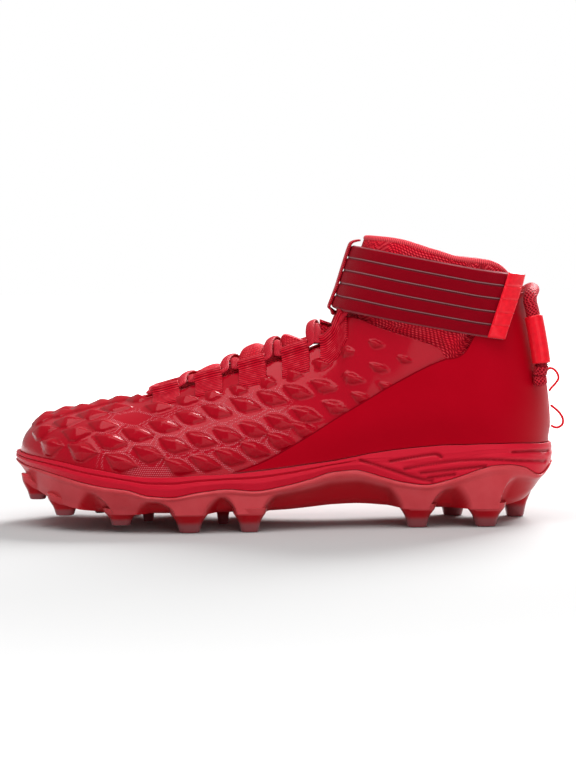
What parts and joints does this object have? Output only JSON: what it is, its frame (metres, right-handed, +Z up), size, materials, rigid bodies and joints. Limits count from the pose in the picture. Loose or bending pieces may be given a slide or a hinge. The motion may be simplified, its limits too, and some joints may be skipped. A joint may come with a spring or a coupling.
{
  "type": "american football cleat",
  "caption": "Mid-height american football cleat for the left foot: studded outsole, moulded shell with raised lumps, knit ankle sleeve, laces and a wide ankle strap.",
  "frame": {"origin": "below the middle of the shoe, on the plane that the studs stand on", "axes": "+X towards the toe, +Y towards the outer side of the foot, +Z up"},
  "size_m": [0.3082, 0.1063, 0.1601],
  "materials": {
    "clear_red_plate": "translucent red moulded plate, frosted around the studs",
    "satin_carrier": "satin red foam carrier",
    "insole_cloth": "dark red cloth",
    "glossy_skin": "glossy red skin with raised lumps",
    "satin_quarter": "smooth satin red synthetic leather",
    "bright_knit": "bright red knit",
    "woven_lace": "woven red tape and lace",
    "woven_strap": "woven red strap with light lines",
    "bright_film": "bright red welded film",
    "braided_cord": "red braided cord"
  },
  "bodies": {
    "root": {"stud_plate": "clear_red_plate", "midsole": "satin_carrier", "insole": "insole_cloth", "upper": "glossy_skin", "heel_quarter": "satin_quarter", "ankle_sleeve": "bright_knit", "collar_rim": "bright_knit", "tongue": "bright_knit", "lace_loop_outer_1": "woven_lace", "lace_loop_outer_2": "woven_lace", "lace_loop_outer_3": "woven_lace", "lace_loop_outer_4": "woven_lace", "lace_loop_outer_5": "woven_lace", "lace_loop_inner_1": "woven_lace", "lace_loop_inner_2": "woven_lace", "lace_loop_inner_3": "woven_lace", "lace_loop_inner_4": "woven_lace", "lace_loop_inner_5": "woven_lace", "laces": "woven_lace", "ankle_strap": "woven_strap", "strap_tab": "bright_film", "strap_keeper": "woven_strap", "heel_pull_loop": "braided_cord", "pull_loop_tube_outer": "bright_film", "pull_loop_tube_inner": "bright_film", "heel_cord_upper": "bright_film", "heel_cord_lower": "bright_film"}
  },
  "joints": []
}
